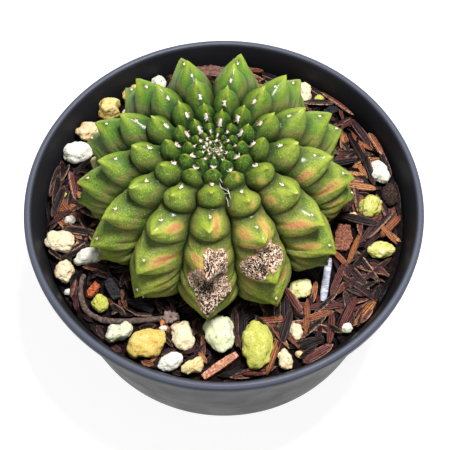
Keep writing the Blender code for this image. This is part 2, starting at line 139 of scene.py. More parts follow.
# Light: place, side of the square lamp, watts
LAMPS = {"key": ((70, 40, 440), 80, 3.8), "fill": ((-150, -350, 300), 300, .55)}
LIT_PLACE = (0, 0, 60)
SKY_STRENGTH = .21
FLOOR_SIDE = 3000


def put(name, data, *materials):
    """Link data as an object, with its materials if it is a mesh."""
    for finish in materials:
        data.materials.append(finish)
    item = bpy.data.objects.new(name, data)
    bpy.context.scene.collection.objects.link(item)
    return item


def mesh_of(name, points, faces):
    """A smooth mesh of points in millimetres."""
    mesh = bpy.data.meshes.new(name)
    mesh.from_pydata((np.asarray(points, float) * MM).tolist(), [], faces)
    mesh.update()
    mesh.shade_smooth()
    return mesh


def set_values(mesh, name, values):
    """Give each point of the mesh a number that its material reads."""
    layer = mesh.attributes.new(name, "FLOAT", "POINT")
    layer.data.foreach_set("value", np.asarray(values, np.float32).ravel())


class Shape:
    """Closed bodies gathered into one mesh, with numbers for the material."""

    def __init__(self):
        self.points, self.faces, self.values = [], [], {}

    def add(self, points, faces, **values):
        """Add a body: its points and faces, and each number for all its points."""
        start = len(self.points)
        self.points.extend(tuple(p) for p in points)
        self.faces.extend(tuple(start + i for i in face) for face in faces)
        for name, value in values.items():
            several = value if hasattr(value, "__len__") else [value] * len(points)
            self.values.setdefault(name, []).extend(several)

    def mesh(self, name):
        """The mesh, with its faces turned outward."""
        mesh = mesh_of(name, self.points, self.faces)
        for key, values in self.values.items():
            set_values(mesh, key, values)
        bm = bmesh.new()
        bm.from_mesh(mesh)
        bmesh.ops.recalc_face_normals(bm, faces=bm.faces)
        bm.to_mesh(mesh)
        bm.free()
        return mesh

    def item(self, name, finish, slot, *nodes):
        """Make the object, which stands for these nodes."""
        return hand_over(put(name, self.mesh(name), finish), slot, *nodes)


def hand_over(item, slot, *nodes):
    """Let a piece ride with the object and stand for its nodes."""
    if nodes:
        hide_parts(*nodes)
    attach(item, "root")
    return item


def unit(value):
    """A number held between 0 and 1."""
    return np.clip(value, 0, 1)


def evenly(sides):
    """The angles of a turn in equal steps, in radians."""
    return np.arange(sides) * tau / sides


def lathe(profile, turns, x=0, y=0):
    """Rings round a vertical axis, one for each radius and height."""
    east, north = np.cos(turns), np.sin(turns)
    rings = [(x + r * east, y + r * north, np.full(len(turns), z)) for r, z in profile]
    return np.array([np.stack(ring, 1) for ring in rings])


def close_rings(shape, rings, first, last, **values):
    """Add a body skinned over rings, with a point at each end."""
    rings = np.asarray(rings, float)
    count = rings.shape[1]
    end = len(rings) * count
    around = [(c, (c + 1) % count) for c in range(count)]
    faces = []
    for a in range(0, end - count, count):
        b = a + count
        faces += [(a + c, a + n, b + n, b + c) for c, n in around]
    faces += [(end, n, c) for c, n in around]
    faces += [(end + 1, end - count + c, end - count + n) for c, n in around]
    shape.add(np.concatenate((rings.reshape(-1, 3), [first, last])), faces, **values)


def faces_of(bm):
    """The faces of a bmesh, as lists of point numbers, with the bmesh then freed."""
    faces = [[v.index for v in face.verts] for face in bm.faces]
    bm.free()
    return faces


def ball(shape, cuts, place, tone):
    """Add a ball, with each of its points put where place says."""
    bm = bmesh.new()
    bmesh.ops.create_icosphere(bm, subdivisions=cuts, radius=1)
    shape.add([place(vert.co) for vert in bm.verts], faces_of(bm), tone=tone)


def fit_box(points, low, high):
    """Scale points to fill a box."""
    least, most = points.min(0), points.max(0)
    return np.array(low) + (points - least) / (most - least) * (np.array(high) - np.array(low))


class Finish:
    """A material and the few node calls that the finishes share."""

    def __init__(self, name, roughness, specular=.5, more=()):
        self.made = bpy.data.materials.new(name)
        self.made.use_nodes = True
        self.tree = self.made.node_tree
        self.shader = self.tree.nodes["Principled BSDF"]
        self.where = self.node("TexCoord").outputs["Object"]
        for socket, value in (("Roughness", roughness), ("Specular IOR Level", specular), *more):
            self.set(self.shader.inputs[socket], value)

    def node(self, kind, **inputs):
        """A new node, with some of its inputs linked or set."""
        made = self.tree.nodes.new("ShaderNode" + kind)
        for name, value in inputs.items():
            self.set(made.inputs[name], value)
        return made

    def set(self, socket, value):
        """Link a socket to another, or give it a value."""
        if isinstance(value, bpy.types.NodeSocket):
            self.tree.links.new(value, socket)
        elif socket.type == "RGBA":
            socket.default_value = (*value, 1)
        else:
            socket.default_value = value

    def drawn_out(self, share, turn):
        """Coordinates that draw noise out into streaks along one way."""
        turned = (0, 0, radians(-turn))
        return self.node("Mapping", Vector=self.where, Scale=(share, 1, 1), Rotation=turned).outputs[0]

    def noise(self, size, detail=4, rough=.55, where=None):
        """Noise whose blotches are about size millimetres wide."""
        node = self.node("TexNoise", Vector=where or self.where, Scale=1 / (size * MM), Detail=detail,
                         Roughness=rough)
        return node.outputs["Fac"]

    def cells(self, size):
        """Distance to the nearest of scattered points."""
        return self.node("TexVoronoi", Vector=self.where, Scale=1 / (size * MM)).outputs["Distance"]

    def value(self, name):
        """A number that the mesh carries on its points."""
        node = self.node("Attribute")
        node.attribute_name = name
        return node.outputs["Fac"]

    def sum(self, kind, a, b=0.0):
        """One sum on two numbers."""
        node = self.node("Math")
        node.operation = kind
        self.set(node.inputs[0], a)
        self.set(node.inputs[1], b)
        return node.outputs[0]

    def times(self, a, b):
        """The product of two numbers."""
        return self.sum("MULTIPLY", a, b)

    def spread(self, value, low, high, to_low=0.0, to_high=1.0):
        """Stretch a range of values onto another, with smooth ends."""
        node = self.node("MapRange", Value=value)
        node.interpolation_type = "SMOOTHSTEP"
        for name, number in (("From Min", low), ("From Max", high), ("To Min", to_low), ("To Max", to_high)):
            node.inputs[name].default_value = number
        return node.outputs[0]

    def ramp(self, value, *stops):
        """Colours by value: each stop is a place and a colour."""
        node = self.node("ValToRGB")
        marks = node.color_ramp.elements
        while len(marks) < len(stops):
            marks.new(1)
        for mark, (place, color) in zip(marks, stops):
            mark.position = place
            mark.color = (*color, 1)
        self.set(node.inputs[0], value)
        return node.outputs[0]

    def over(self, color, *layers):
        """Colours laid over a colour, one after another, each by its share."""
        for share, above in layers:
            node = self.node("Mix")
            node.data_type = "RGBA"
            self.set(node.inputs["Factor"], share)
            self.set(node.inputs[6], color)
            self.set(node.inputs[7], above)
            color = node.outputs[2]
        return color

    def bump(self, height, depth, below=None, strength=1.0):
        """Relief of a depth in millimetres, on top of other relief."""
        node = self.node("Bump", Height=height, Distance=depth * MM, Strength=strength)
        if below is not None:
            self.set(node.inputs["Normal"], below)
        return node.outputs[0]

    def finish(self, color, relief=None, roughness=None):
        """Join the colour, relief and gloss to the shader."""
        for socket, value in (("Base Color", color), ("Normal", relief), ("Roughness", roughness)):
            if value is not None:
                self.set(self.shader.inputs[socket], value)
        return self.made


def aim(item, place, way):
    """Stand a camera or a lamp at a place, facing a way."""
    item.location = place
    item.rotation_mode = "QUATERNION"
    item.rotation_quaternion = way.to_track_quat("-Z", "Y")


def camera():
    """The camera at the photograph's viewing angle."""
    lens = bpy.data.cameras.new("camera")
    lens.lens = VIEW_LENS
    lens.sensor_width = SENSOR_WIDTH
    item = put("camera", lens)
    tilt = radians(VIEW_ELEVATION)
    back = Vector((0, -cos(tilt), sin(tilt)))
    aim(item, (Vector(VIEW_TARGET) + back * VIEW_DISTANCE) * MM, -back)
    bpy.context.scene.camera = item


def studio():
    """A plain pale floor, a white sky and two soft lights."""
    world = bpy.data.worlds.new("sky")
    world.use_nodes = True
    sky = world.node_tree.nodes["Background"]
    sky.inputs["Color"].default_value = (1, 1, 1, 1)
    sky.inputs["Strength"].default_value = SKY_STRENGTH
    bpy.context.scene.world = world
    for name, (place, side, watts) in LAMPS.items():
        lamp = bpy.data.lights.new(name, "AREA")
        lamp.size = side * MM
        lamp.energy = watts
        aim(put(name, lamp), Vector(place) * MM, Vector(LIT_PLACE) - Vector(place))
    f = Finish("floor", .9, .5, (("Emission Color", (1, 1, 1)), ("Emission Strength", .86)))
    white = f.finish(f.ramp(f.noise(400, 1), (0, (.30, .30, .30)), (1, (.32, .32, .32))))
    corners = [(x * FLOOR_SIDE, y * FLOOR_SIDE, 0) for x, y in ((-1, -1), (1, -1), (1, 1), (-1, 1))]
    put("floor", mesh_of("floor", corners, [(0, 1, 2, 3)]), white)
    bpy.context.scene.view_settings.view_transform = "Standard"
    bpy.context.scene.view_settings.look = "None"


def along(rank, column):
    """One column of the rib line as a smooth curve."""
    xs, ys = LINE[:, RANK], LINE[:, column]
    rank = np.clip(np.asarray(rank, float), xs[0], xs[-1])
    slopes = np.gradient(ys, xs)
    i = np.clip(np.searchsorted(xs, rank, side="right") - 1, 0, len(xs) - 2)
    step = xs[i + 1] - xs[i]
    s = (rank - xs[i]) / step
    ends = (1 + 2 * s) * (1 - s) ** 2 * ys[i] + s * s * (3 - 2 * s) * ys[i + 1]
    return ends + s * (1 - s) * step * ((1 - s) * slopes[i] - s * slopes[i + 1])


def outer(rank):
    """0 on the rounded tubercles of the crown, 1 on the sharp outer chins."""
    x = unit((np.asarray(rank, float) - SHARP_FROM) / SHARP_OVER)
    return x * x * (3 - 2 * x)


def off(past, place=0.0):
    """How far from a place in each areole's step, in areoles."""
    return (past - place + .5) % 1.0 - .5


def areole_share(rank):
    """Height of an areole between its crease, 0, and its chin tip, 1."""
    return 1 - along(rank, CHIN) / (along(rank, DEPTH) * (1 - along(rank, CREASE)))


def swell(past, rank, u):
    """The rib's height between its creases, 0, and a chin tip, 1."""
    side = abs(u)
    sharp = outer(rank)
    head = .20 + .25 * sharp
    w = (past + head + .08 * side ** 2) % 1.0
    rise = head + TIP + (.20 - .06 * sharp) * side ** 1.4
    hollow = np.log(np.clip(areole_share(rank), .12, .95)) / np.log(head / (head + TIP))
    hollow = np.clip(hollow, .8, 3) * (1 - .4 * side) + .4 * side
    up = unit(w / rise) ** hollow
    down = unit((w - rise) / (1 - rise))
    fall = (1 - down ** (1.15 - .08 * sharp)) ** (.64 + .17 * sharp)
    return np.where(w < rise, up, fall)


def across(past, rank, u):
    """The rib's height from its middle line, 1, to the furrows, 0."""
    off_tip = off(past, TIP)
    keel = np.exp(-(off_tip / np.where(off_tip < 0, .16, .26)) ** 2)
    sharp = outer(rank)
    power = (2.15 - .6 * sharp) * (1 - keel) + (1.20 - .08 * sharp) * keel
    return (1 - abs(u) ** power) ** (.56 + .10 * sharp + .22 * keel)


def nib(past, rank, u):
    """Height in millimetres of the small cone on each chin tip."""
    sharp = outer(rank)
    tall = (1.25 - .55 * sharp) * np.clip((rank + .6) / 1.6, .25, 1)
    lengthwise = (abs(off(past, TIP)) / (.15 - .03 * sharp)) ** 1.3
    return tall * np.exp(-lengthwise - (abs(u) / (.42 - .20 * sharp)) ** 1.3)


def out_of_furrow(rank, share):
    """Step from the furrow's floor to a share of the rib's depth: radius, height."""
    run = along(rank + .05, RADIUS) - along(rank - .05, RADIUS)
    drop = along(rank - .05, HEIGHT) - along(rank + .05, HEIGHT)
    angle = np.arctan2(drop, run) + radians(CHIN_DROOP) * share
    step = along(rank, DEPTH) * share
    return step * np.sin(angle), step * np.cos(angle)


def sway(mine, other, rank):
    """How far a furrow swings into the neighbour between its tubercles."""
    amount = .03 + .22 * unit((3.6 - rank) / 2.2)
    widest = .40
    return amount * (np.cos(tau * (mine - widest)) - np.cos(tau * (other - widest))) / 2


def own_start(rows):
    """How much of its own start a rib keeps: none at its two ends."""
    return unit((LAST_ROW - rows) / .8) * unit(rows - FIRST_ROW)


def rib_sheet(i, rows, us):
    """Points on rib i for rows along it and places us across it.

    Gives the points, each one's rank, how far it is past an areole, and how
    deep it lies in a furrow or a crease.
    """
    azimuth, start = RIBS[i]
    u = np.asarray(us, float)[None, :]
    rows = np.asarray(rows, float)[:, None]
    side = abs(u)
    after, before = RIBS[(i + 1) % len(RIBS)], RIBS[i - 1]
    gaps = [abs((azimuth - other[0] + 180) % 360 - 180) / 2 for other in (after, before)]
    other = np.where(u > 0, after[1], before[1])
    half = np.where(u > 0, gaps[0], gaps[1])
    shift = start * (1 - side / 2) + other * side / 2
    rank = rows + MEAN_START + (shift - MEAN_START) * own_start(rows)
    past = rank - start
    angle = np.radians(azimuth - u * half * (1 + sway(past, rank - other, rank)))
    crease = along(rank, CREASE)
    rise = swell(past, rank, u)
    share = (crease + (1 - crease) * rise) * across(past, rank, u)
    share = share + nib(past, rank, u) / along(rank, DEPTH)
    sharp = outer(rank)
    # How deep a point lies in a furrow or a crease; the skin finish paints shade there by this number.
    furrow = unit((side - .46 - .26 * sharp) / (.54 - .26 * sharp)) ** 1.5
    deep = np.maximum(furrow, unit(1 - rise / (.48 - .16 * sharp)) * (1 - .35 * sharp))
    areole = crease + (1 - crease) * areole_share(rank)
    out, up = out_of_furrow(rank, share)
    out_areole, up_areole = out_of_furrow(rank, areole)
    radius = along(rank, RADIUS) - out_areole + out
    height = along(rank, HEIGHT) - up_areole + up
    return np.stack((radius * np.cos(angle), radius * np.sin(angle), height), 2), rank, past, deep


def lean(points):
    """Lean the plant above the soil and stand it on its place."""
    x, y, z = points[..., 0], points[..., 1], points[..., 2]
    held = unit(z / 6)
    rise = tan(radians(PLANT_LEAN_LEFT)) * x + tan(radians(PLANT_LEAN_FRONT)) * y
    return np.stack((x + PLANT_X, y + PLANT_Y, z + rise * held + SOIL_LEVEL), -1)


def row_of(rib, rank):
    """The row of the sheet that has this rank on a rib's middle line."""
    start = RIBS[rib][1]
    row = rank - start
    for _ in range(4):
        row = rank - MEAN_START - (start - MEAN_START) * own_start(row)
    return float(row)


def skin_spot(rib, rank, u=0.0):
    """A point on the skin, the way out of it, and the ways along and across."""
    row = row_of(rib, rank)
    sheet = lean(rib_sheet(rib, (row - .03, row, row + .03), (u - .05, u, u + .05))[0])
    down = Vector(sheet[2, 1] - sheet[0, 1]).normalized()
    side = Vector(sheet[1, 2] - sheet[1, 0]).normalized()
    out = side.cross(down).normalized()
    if out.dot(Vector(sheet[1, 1]) - HEART) < 0:
        out = -out
    return Vector(sheet[1, 1]), out, down, down.cross(out).normalized()


def skin_finish():
    """Green skin: dark at the crown, yellow-green on the chins, with blush and painted shade in the furrows
    and creases.
    """
    f = Finish("cactus_skin", .42, .22, (("Coat Weight", .14), ("Coat Roughness", .18)))
    pore = .62
    base = f.ramp(f.value("rank"), (0, (.004, .026, .002)), (.30, (.009, .048, .003)),
                  (.50, (.022, .092, .005)), (.66, (.054, .148, .008)), (.80, (.100, .200, .015)),
                  (1, (.13, .22, .03)))
    warm = f.times(f.value("warm"), f.spread(f.noise(7, 3), .30, .62, .35, 1))
    cloud = f.spread(f.noise(2.6, 5, .65), .42, .60, 0, .42)
    fleck = f.times(f.spread(f.noise(.34, 4, .7), .53, .66, 0, .8), f.value("sun"))
    ragged = f.times(f.value("blush"), f.spread(f.noise(.9, 5, .7), .30, .60, .30, 1))
    pores = f.times(f.spread(f.cells(pore), .10, .24, 1, 0), f.spread(f.noise(4, 2), .38, .6, .15, .85))
    color = f.over(
        base, (f.times(warm, .72), (.31, .33, .045)), (cloud, (.020, .085, .006)),
        (fleck, (.48, .50, .15)), (f.times(f.value("tip"), .60), (.33, .38, .030)),
        (f.times(f.value("strip"), .55), (.22, .16, .06)),
        (f.spread(f.value("blush"), .01, .40, 0, .80), (.40, .31, .065)),
        (f.spread(ragged, .22, .80, 0, .85), (.40, .140, .070)), (pores, (.018, .050, .006)),
        (f.times(f.value("notch"), .8), (.008, .030, .004)),
        # Painted shade: near black in the furrows and the creases between tubercles, by how deep they lie.
        (f.times(f.value("deep"), .94), (.003, .008, .002)))
    relief = f.bump(f.cells(pore), .07, f.bump(f.noise(.8, 5, .7), .30), .7)
    gloss = f.sum("ADD", f.spread(f.noise(2, 3), .3, .7, .32, .50), f.times(f.value("deep"), .5))
    return f.finish(color, relief, gloss)


# Sunburnt places: rib, rank, place across, half length, half width, strength
BLUSH = (
    (4, 4.03, .55, .12, .34, 1.0), (4, 3.12, .74, .14, .16, .6), (4, 4.84, .52, .11, .32, .8),
    (4, 2.46, .52, .2, .18, .4), (3, 3.61, .74, .10, .26, .9), (3, 4.50, .58, .11, .34, 1.0),
    (3, 5.40, .64, .16, .22, .7), (5, 3.46, -.32, .26, .15, .8), (5, 3.50, .55, .14, .26, .8),
    (5, 3.85, .38, .14, .34, .7), (5, 2.75, -.16, .22, .16, .5), (5, 5.15, -.46, .12, .22, .7),
    (5, 5.10, .66, .30, .20, .4), (5, 1.80, -.12, .2, .16, .5), (6, 3.10, -.29, .28, .16, .9),
    (6, 4.02, .42, .10, .20, .9), (6, 3.90, .10, .22, .16, .7), (6, 5.05, .02, .16, .14, .8),
    (7, 3.44, -.56, .12, .24, .9), (7, 4.36, -.52, .12, .32, 1.0), (8, 4.3, -.5, .1, .2, .4))


def skin_numbers(points, rank, past, u):
    """What the finish reads: chin tips, areole notches, sunlit and burnt places."""
    x, y = points[..., 0], points[..., 1]
    off_tip = off(past, TIP)
    tip = np.exp(-(off_tip / np.where(off_tip < 0, .10, .16)) ** 2) * unit(1 - abs(u) * 1.6)
    blush = np.zeros_like(rank)
    for rib, at, place, long, wide, strength in BLUSH:
        mine = slice(rib * COLUMNS, (rib + 1) * COLUMNS)
        away = ((rank[:, mine] - at) / long) ** 2 + ((u[:, mine] - place) / wide) ** 2
        blush[:, mine] = np.maximum(blush[:, mine], strength * np.exp(-away ** 1.4))
    return {
        "rank": (rank - LINE[0, RANK]) / (LINE[-2, RANK] - LINE[0, RANK]),
        "tip": tip,
        "notch": np.exp(-(off(past) / .05) ** 2 - (u / .14) ** 2),
        "strip": np.exp(-((abs(u) - .72) / .10) ** 2) * unit((rank - 1.5) / 1.5),
        "sun": np.clip(.60 - y / 45, .15, 1),
        "warm": unit(.42 - y / 42 + x / 90) * unit((rank - .6) / 2.4),
        "blush": blush}


def cactus():
    """The plant as one fine skin, down to the end of its neck."""
    rows = np.linspace(FIRST_ROW, LAST_ROW, ROWS)
    us = np.sin((2 * np.arange(COLUMNS) / COLUMNS - 1) * pi / 2)
    sheets = [rib_sheet(i, rows, us) for i in range(len(RIBS))]
    points, rank, past, deep = (np.concatenate([sheet[k] for sheet in sheets], 1) for k in range(4))
    numbers = skin_numbers(points, rank, past, np.tile(us, len(RIBS)) * np.ones((ROWS, 1)))
    # deep: where the skin finish paints shade in the furrows and creases
    numbers["deep"] = deep
    turns = np.arctan2(points[-1, :, 1], points[-1, :, 0])
    for name, values in numbers.items():
        end = 1 if name == "rank" else 0
        numbers[name] = np.concatenate((values.ravel(), np.full(len(NECK) * len(turns), end), [0, end]))
    skin = lean(np.concatenate((points, lathe(NECK, turns))))
    shape = Shape()
    close_rings(shape, skin, skin[0].mean(0), (PLANT_X, PLANT_Y, NECK_END), **numbers)
    shape.item("cactus_skin", skin_finish(), "cactus_skin", "cactus")


def hoop(middle, way, radius, turns):
    """A ring of points round a place, square to a way."""
    side = way.orthogonal().normalized()
    third = way.cross(side)
    return [middle + (side * cos(a) + third * sin(a)) * radius for a in turns]


def fibre(shape, root, way, length, thick, bend, tone):
    """A thin bent three-sided hair, rooted in the skin."""
    way = way.normalized()
    turns = [tau * k / 3 for k in range(3)]
    rings = []
    for share, radius in ((-.15, thick), (.5, thick * .8)):
        rings.append(hoop(root + way * length * share + bend * share * share, way, radius, turns))
    close_rings(shape, rings, root - way * length * .16, root + way * length + bend, tone=tone)


def pad(shape, draw, middle, ways, size, tone):
    """A small flattened felt pad."""
    def place(co):
        down, side, out = (way * c * s for way, c, s in zip(ways, co, size))
        return middle + (down + side + out) * (1 + draw.uniform(-.22, .22))

    ball(shape, 2, place, tone)


# Wool: ranks of the first and last areoles that have some, where the small and
# sparse tufts of the crown end, and the hairs between them on the apex
WOOLLY = (-1.7, 6.35)
SMALL_TUFTS_END = .6
SPARSE_TUFTS_END = -.3
APEX_HAIRS = 40
APEX_RADIUS = 2.4
APEX_HEIGHT = 28.6


def tuft(shape, draw, rib, rank):
    """Felt and short spines on an areole, more of both near the crown."""
    spot, out, down, side = skin_spot(rib, rank - .02)
    young = min(max((3.4 - rank) / 2.4, 0), 1)
    long, wide, hairs = .75 + 1.5 * young, .50 + .26 * young, int(8 + 22 * young)
    if rank < SMALL_TUFTS_END:
        long, wide, hairs = draw.uniform(.5, 1.2), draw.uniform(.35, .6), 7
    if rank < SPARSE_TUFTS_END and draw.random() < .55:
        return
    middle = spot - down * long * .12
    felt = .22 + .5 * (1 - young) * draw.random()
    pad(shape, draw, middle, (down, side, out), (long * .46, wide * .46, .22), felt)
    for _ in range(hairs):
        a, b = draw.uniform(-1, 1), draw.uniform(-1, 1)
        root = middle + down * a * long * .42 + side * b * wide * .42
        way = out + down * a * .7 + side * b * .8
        bend = Vector([draw.uniform(-.25, .25) for _ in range(3)])
        spine = draw.random() < .32
        tone = draw.uniform(.6, .85) if spine else draw.uniform(0, .25)
        length = draw.uniform(.35, .75) * (.75 + .4 * young) * (1.3 if spine else 1)
        fibre(shape, root, way, length, .075 if spine else .06, bend * length, tone)


def wool():
    """A tuft of wool with short spines on each areole, and the woolly crown."""
    draw = random.Random(21)
    shape = Shape()
    for rib, (_, start) in enumerate(RIBS):
        for rank in (start + j for j in range(-4, 7)):
            if WOOLLY[0] <= rank <= WOOLLY[1]:
                tuft(shape, draw, rib, rank)
    for _ in range(APEX_HAIRS):
        turn, away = draw.uniform(0, tau), APEX_RADIUS * sqrt(draw.random())
        height = SOIL_LEVEL + APEX_HEIGHT + .18 * away
        root = Vector((PLANT_X + away * cos(turn), PLANT_Y + away * sin(turn), height))
        way = Vector((draw.uniform(-1, 1), draw.uniform(-1, 1), draw.uniform(.4, 1.3)))
        tone = draw.uniform(.6, .8) if draw.random() < .15 else draw.uniform(0, .2)
        fibre(shape, root, way, draw.uniform(.6, 1.2), .08, Vector((0, 0, -.2)), tone)
    f = Finish("wool", .85, .2, (("Sheen Weight", .3),))
    color = f.ramp(f.value("tone"), (0, (.86, .84, .80)), (.45, (.74, .66, .62)), (.7, (.78, .40, .28)),
                   (1, (.30, .13, .08)))
    shape.item("wool", f.finish(color), "cactus_skin")


def inner_wall(z):
    """Radius of the inside of the pot at height z."""
    top = POT_HEIGHT - LIP_HEIGHT
    return BASE_RADIUS + (WALL_TOP_RADIUS - BASE_RADIUS) * z / top - WALL


def pot_finish():
    """Black plastic with a fine grain, pale dust and a painted reflection of the sky on the rim."""
    f = Finish("pot_plastic", .42, .13)
    dust = f.spread(f.noise(.35, 4, .7), .64, .74, 0, .35)
    color = f.over(
        (.009, .009, .011), (f.spread(f.noise(14, 2), .3, .7), (.012, .012, .014)),
        # Painted reflection: the rim turns a paler slate blue where it faces the white sky, by the lip
        # number.
        (f.value("lip"), (.058, .064, .088)), (dust, (.20, .20, .21)))
    return f.finish(color, f.bump(f.noise(.25, 3, .6), .035), f.spread(f.noise(8, 2), .3, .7, .38, .46))


def painted_rim_reflection(radius, z):
    """How much painted sky reflection the rim gets: all on top, some on its outer side."""
    if z < POT_HEIGHT - LIP_HEIGHT + .3 or radius < RIM_RADIUS - LIP_WIDTH:
        return 0
    if z > POT_HEIGHT - .32:
        return 1
    return .25 if z > POT_HEIGHT - 1 else .8


def pot():
    """Thin tapered pot with a rounded lip and drain holes."""
    top, lip_low = POT_HEIGHT, POT_HEIGHT - LIP_HEIGHT
    rim, lip_in = RIM_RADIUS, RIM_RADIUS - LIP_WIDTH
    middle, halfway = 14, 20
    floor = [(middle, FLOOR), (inner_wall(FLOOR) - 1.5, FLOOR), (inner_wall(FLOOR) - .4, FLOOR + .45)]
    inner = [(inner_wall(z), z) for z in (3, halfway, SOIL_LEVEL, lip_low - 1)]
    lip = [(lip_in - .5, top - 1.4), (lip_in - .25, top - .8), (lip_in + .05, top - .35),
           (lip_in + .4, top - .08), (lip_in + .8, top), (rim - .7, top - .05), (rim - .25, top - .3),
           (rim, top - .8), (rim, lip_low + .5), (rim - .15, lip_low + .15), (rim - .5, lip_low)]
    outer_wall = [(WALL_TOP_RADIUS, lip_low), (WALL_TOP_RADIUS - .3, lip_low - .4), (46, halfway)]
    foot = [(BASE_RADIUS + .15, 1.1), (BASE_RADIUS - .25, .35), (BASE_RADIUS - .9, 0), (middle, 0)]
    profile = floor + inner + lip + outer_wall + foot
    shape = Shape()
    close_rings(shape, lathe(profile, evenly(POT_SIDES)), (0, 0, FLOOR), (0, 0, 0))
    mesh = shape.mesh("pot_plastic")
    mesh.set_sharp_from_angle(angle=radians(50))
    # The lip number says where the finish paints the sky's reflection on the rim.
    set_values(mesh, "lip", [painted_rim_reflection(hypot(x, y), z) for x, y, z in shape.points])
    item = put("pot_plastic", mesh, pot_finish())
    rods = bmesh.new()
    for x, y, z in lathe([(DRAIN_CIRCLE, 0)], evenly(DRAIN_HOLES) + pi / DRAIN_HOLES)[0]:
        bmesh.ops.create_cone(
            rods, cap_ends=True, segments=40, radius1=DRAIN_RADIUS * MM, radius2=DRAIN_RADIUS * MM,
            depth=4 * FLOOR * MM, matrix=Matrix.Translation(Vector((x, y, z)) * MM))
    drill = bpy.data.meshes.new("drains")
    rods.to_mesh(drill)
    rods.free()
    cutter = put("drains", drill)
    holes = item.modifiers.new("drains", "BOOLEAN")
    holes.operation = "DIFFERENCE"
    holes.object = cutter
    drilled = item.evaluated_get(bpy.context.evaluated_depsgraph_get())
    item.data = bpy.data.meshes.new_from_object(drilled)
    item.modifiers.clear()
    bpy.data.objects.remove(cutter, do_unlink=True)
    hand_over(item, "pot", "pot")


def soil():
    """The mix that fills the pot round the neck, with an uneven top."""
    turns = evenly(SOIL_SIDES)
    hole = [(NECK[0][0] - GAP, SOIL_LEVEL)] + [(r + GAP, SOIL_LEVEL + z - GAP) for r, z in NECK[1:]]
    rings = list(lathe(reversed(hole), turns, PLANT_X, PLANT_Y))
    inner = rings[-1]
    rim = lathe([(inner_wall(SOIL_LEVEL) - GAP, SOIL_LEVEL)], turns)[0]
    for k in range(1, SOIL_RINGS):
        ring = inner + (rim - inner) * k / SOIL_RINGS
        lift = [SOIL_LUMP * noise.fractal(Vector((x, y, 0)) * .7, .8, 2, 3) for x, y, _ in ring]
        ring[:, 2] += np.clip(lift, -.5, .5)
        rings.append(ring)
    rings.append(rim)
    for z, less in ((20, 0), (FLOOR + 1.8, 0), (FLOOR + GAP, 1.6)):
        rings.extend(lathe([(inner_wall(z) - GAP - less, z)], turns))
    shape = Shape()
    close_rings(shape, rings, (PLANT_X, PLANT_Y, NECK_END - GAP), (0, 0, FLOOR + GAP))
    f = Finish("potting_mix", .9, .06)
    # Near-black mix: partly the mix's own dark colour, partly painted shade for the gaps between the hulls.
    color = f.ramp(f.noise(1.2, 5, .7), (.35, (.002, .001, .002)), (.58, (.007, .004, .004)),
                   (.75, (.035, .016, .012)))
    finish = f.finish(color, f.bump(f.noise(.8, 5, .7), .5))
    shape.item("potting_mix_body", finish, "potting_mix", "potting_mix")


def husk_finish():
    """Charred and coppery hulls with fine lengthwise ribs and pale tips, with painted shade in the grooves
    and on hulls low in the pile.
    """
    f = Finish("husks", .45, .18)
    # The tone read here is already darker on hulls low in the pile: painted shade.
    burnt = f.ramp(f.value("tone"), (0, (.001, .001, .001)), (.24, (.008, .003, .005)),
                   (.46, (.045, .013, .018)), (.64, (.140, .034, .028)), (.82, (.36, .12, .038)),
                   (1, (.74, .36, .14)))
    ribs = f.sum("SINE", f.times(f.value("around"), tau * HUSK_RIBS))
    streak = f.spread(f.noise(.45, 4, .65), .42, .64, 0, .55)
    edge = f.times(f.value("edge"), f.spread(f.noise(.7, 3), .34, .56))
    # Painted shade: the grooves between the fine ribs are darkened.
    color = f.over(burnt, (f.spread(ribs, -.9, .3, .60, 0), (.004, .002, .003)),
                   (streak, (.006, .003, .004)), (edge, (.80, .48, .33)))
    relief = f.bump(f.noise(.28, 3, .6), .10, f.bump(ribs, .10))
    return f.finish(color, relief, f.spread(f.noise(1, 2), .3, .7, .30, .55))


def husk_rings(length, width, arch, blunt, open_side):
    """Cross-sections of a boat-shaped hull, lying along X with its back up."""
    rings = []
    for k in range(1, HUSK_STEPS):
        t = 2 * k / HUSK_STEPS - 1
        half = width / 2 * (1 - abs(t) ** blunt) ** .75
        ring = []
        for i in range(HUSK_AROUND):
            a = tau * i / HUSK_AROUND - pi / 2
            y, z = cos(a) * half, sin(a) * half * (.80 if sin(a) > 0 else .45)
            if open_side and z > 0 and abs(y) < half * .7:
                z = -.10 * half
            ring.append((t * length / 2, y, z - arch * t * t))
        rings.append(ring)
    return rings


def husk_edges(glow):
    """How pale each point of a hull is: its two ends and the rims of its sides."""
    rim = [.75 * abs(sin(tau * i / HUSK_AROUND)) ** 6 for i in range(HUSK_AROUND)]
    ends = [.7 * abs(2 * k / HUSK_STEPS - 1) ** 6 for k in range(1, HUSK_STEPS)]
    return [glow * (end + side) for end in ends for side in rim] + [glow, glow]


def outlines():
    """Seen from above, the outlines of the pieces that lie on the mix, with margins."""
    margins = {"pumice": -.3, "bark_right": -.3, "bark_back": -.3, "bark": 1.1, "charcoal": .3,
               "straw": 1.1}
    plans = []
    for name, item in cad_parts.items():
        margin = next((m for start, m in margins.items() if name.startswith(start)), None)
        if margin is not None:
            flat = [Vector((v.co.x, v.co.y)) / MM for v in item.data.vertices]
            hull = [flat[k] for k in geometry.convex_hull_2d(flat)]
            middle = sum(hull, Vector((0, 0))) / len(hull)
            plans.append([p + (p - middle).normalized() * margin for p in hull])
    return plans


def inside(plan, x, y):
    """Whether a point lies in a convex outline, listed against the clock."""
    sides = zip(plan, plan[1:] + plan[:1])
    return all((b.x - a.x) * (y - a.y) >= (b.y - a.y) * (x - a.x) for a, b in sides)


def is_clear(line, width, plans, route):
    """Whether a hull keeps off the wall, the plant, the loose pieces and the twig."""
    return (max(p.length for p in line) <= inner_wall(SOIL_LEVEL) - .2 - width * .2
            and min(dist(p, (PLANT_X, PLANT_Y)) for p in line) >= HUSK_OFF_PLANT
            and not any(inside(plan, *p) for plan in plans for p in line)
            and all(dist(p, q) >= HUSK_OFF_TWIG for p in line[::2] for q in route))


